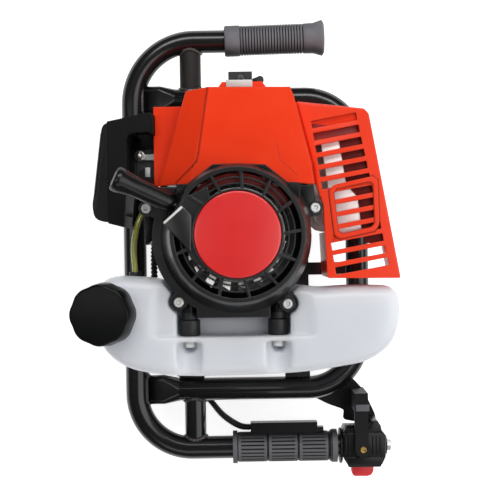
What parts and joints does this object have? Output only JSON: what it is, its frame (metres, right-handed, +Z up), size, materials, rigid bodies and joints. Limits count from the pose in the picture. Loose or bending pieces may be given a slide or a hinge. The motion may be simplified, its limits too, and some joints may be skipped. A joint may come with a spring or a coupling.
{
  "type": "earth auger power head",
  "caption": "Earth auger power head: bent tube frame with grips and throttle, two-stroke engine with recoil starter, clutch, reduction gearbox and pinned drill shaft.",
  "frame": {"origin": "shoulder of the output shaft on the drill axis", "axes": "+Z up along the drill and crank axis, +Y towards the cylinder and upper handle, +X towards the exhaust"},
  "size_m": [0.3321, 0.5085, 0.2888],
  "materials": {
    "frame_paint": "gloss black stove enamel",
    "grip_rubber": "matt moulded rubber",
    "black_plastic": "fine-grained moulded plastic",
    "black_rubber": "moulded rubber",
    "red_cover": "gloss red moulded plastic",
    "badge_red": "gloss red, bare",
    "switch_red": "moulded plastic",
    "cast_aluminium": "as-cast",
    "bare_steel": "plain machined or pressed steel",
    "clutch_iron": "sintered",
    "tank_white": "translucent blow-moulded plastic",
    "hose_clear": "clear yellow-green fuel hose",
    "reel_plastic": "moulded plastic",
    "rope_fibre": "braided cord",
    "filter_foam": "open-cell foam"
  },
  "bodies": {
    "frame": {"handle_tube": "frame_paint", "guard_loop": "frame_paint", "frame_struts": "frame_paint", "mount_plate": "frame_paint", "upper_grip": "grip_rubber", "lower_grip": "grip_rubber", "throttle_front": "black_plastic", "throttle_rear": "black_plastic", "throttle_screws": "bare_steel", "cable_cover": "black_plastic", "throttle_conduit": "black_plastic", "gearbox_upper": "cast_aluminium", "gearbox_lower": "cast_aluminium", "housing_bolts": "bare_steel", "shaft_bearings": "bare_steel", "layshaft_pin": "bare_steel", "clutch_housing": "cast_aluminium", "crankcase_rear": "cast_aluminium", "crankcase_front": "cast_aluminium", "connecting_rod": "bare_steel", "piston": "cast_aluminium", "engine_cylinder": "cast_aluminium", "spark_plug": "bare_steel", "plug_cap": "black_rubber", "ignition_lead": "black_rubber", "ignition_coil": "black_plastic", "fan_housing": "black_plastic", "starter_housing": "black_plastic", "starter_badge": "badge_red", "starter_screws": "bare_steel", "recoil_spring": "bare_steel", "starter_rope": "rope_fibre", "engine_shroud": "red_cover", "muffler": "bare_steel", "muffler_guard": "red_cover", "insulator_block": "black_plastic", "carburettor": "cast_aluminium", "air_filter_base": "black_plastic", "air_filter_element": "filter_foam", "air_filter_cover": "black_plastic", "fuel_hose": "hose_clear", "fuel_tank": "tank_white", "tank_posts": "black_rubber", "tank_bolts": "bare_steel"},
    "output": {"output_shaft": "bare_steel", "output_gear": "bare_steel"},
    "layshaft": {"layshaft_gear": "bare_steel"},
    "drum": {"clutch_drum": "bare_steel"},
    "crank": {"crankshaft": "bare_steel", "flywheel": "cast_aluminium", "clutch_shoes": "clutch_iron"},
    "reel": {"rope_reel": "reel_plastic"},
    "pull": {"starter_handle": "black_plastic"},
    "trigger": {"throttle_trigger": "black_plastic"},
    "switch": {"stop_switch": "switch_red"},
    "carb_throttle": {"carb_lever": "bare_steel"},
    "carb_choke": {"choke_lever": "black_plastic"},
    "cap": {"fuel_cap": "black_plastic"}
  },
  "joints": [
    {"name": "output_spin", "type": "hinge", "parent": "frame", "child": "output", "pos_m": [0, 0, 0], "axis": [0, 0, 1], "continuous": true},
    {"name": "layshaft_spin", "type": "hinge", "parent": "frame", "child": "layshaft", "pos_m": [0, 0.045, 0.035], "axis": [0, 0, 1], "continuous": true},
    {"name": "drum_spin", "type": "hinge", "parent": "frame", "child": "drum", "pos_m": [0, 0, 0.08], "axis": [0, 0, 1], "continuous": true},
    {"name": "crank_spin", "type": "hinge", "parent": "frame", "child": "crank", "pos_m": [0, 0, 0.132], "axis": [0, 0, 1], "continuous": true},
    {"name": "rope_pull", "type": "slide", "parent": "frame", "child": "pull", "axis": [-0.8831, 0.4118, 0.225], "range_m": [0, 0.7], "stiffness_N_per_m": 20, "deforming": ["starter_rope"]},
    {"name": "reel_spin", "type": "hinge", "parent": "frame", "child": "reel", "pos_m": [0, 0, 0.212], "axis": [0, 0, 1], "range_deg": [-1340, 0]},
    {"name": "trigger_pull", "type": "hinge", "parent": "frame", "child": "trigger", "pos_m": [0.133, -0.237, 0.065], "axis": [0, 0, 1], "range_deg": [0, 25], "stiffness_Nm_per_rad": 0.6},
    {"name": "carb_throttle_turn", "type": "hinge", "parent": "frame", "child": "carb_throttle", "pos_m": [-0.084, 0.083, 0.15], "axis": [0, 0, 1], "range_deg": [-50, 0]},
    {"name": "choke_turn", "type": "hinge", "parent": "frame", "child": "carb_choke", "pos_m": [-0.098, 0.066, 0.15], "axis": [0, 0, 1], "range_deg": [0, 50]},
    {"name": "switch_slide", "type": "slide", "parent": "frame", "child": "switch", "axis": [1, 0, 0], "range_m": [-0.0025, 0.0025]},
    {"name": "cap_turn", "type": "hinge", "parent": "frame", "child": "cap", "pos_m": [-0.131, -0.074, 0.2], "axis": [-0.2079, 0, 0.9781], "continuous": true}
  ],
  "couplings": [
    {"joint": "layshaft_spin", "follows": "output_spin", "ratio": -5},
    {"joint": "drum_spin", "follows": "output_spin", "ratio": 32.5},
    {"joint": "reel_spin", "follows": "rope_pull", "rad_per_m": -33.333},
    {"joint": "carb_throttle_turn", "follows": "trigger_pull", "ratio": -2}
  ]
}
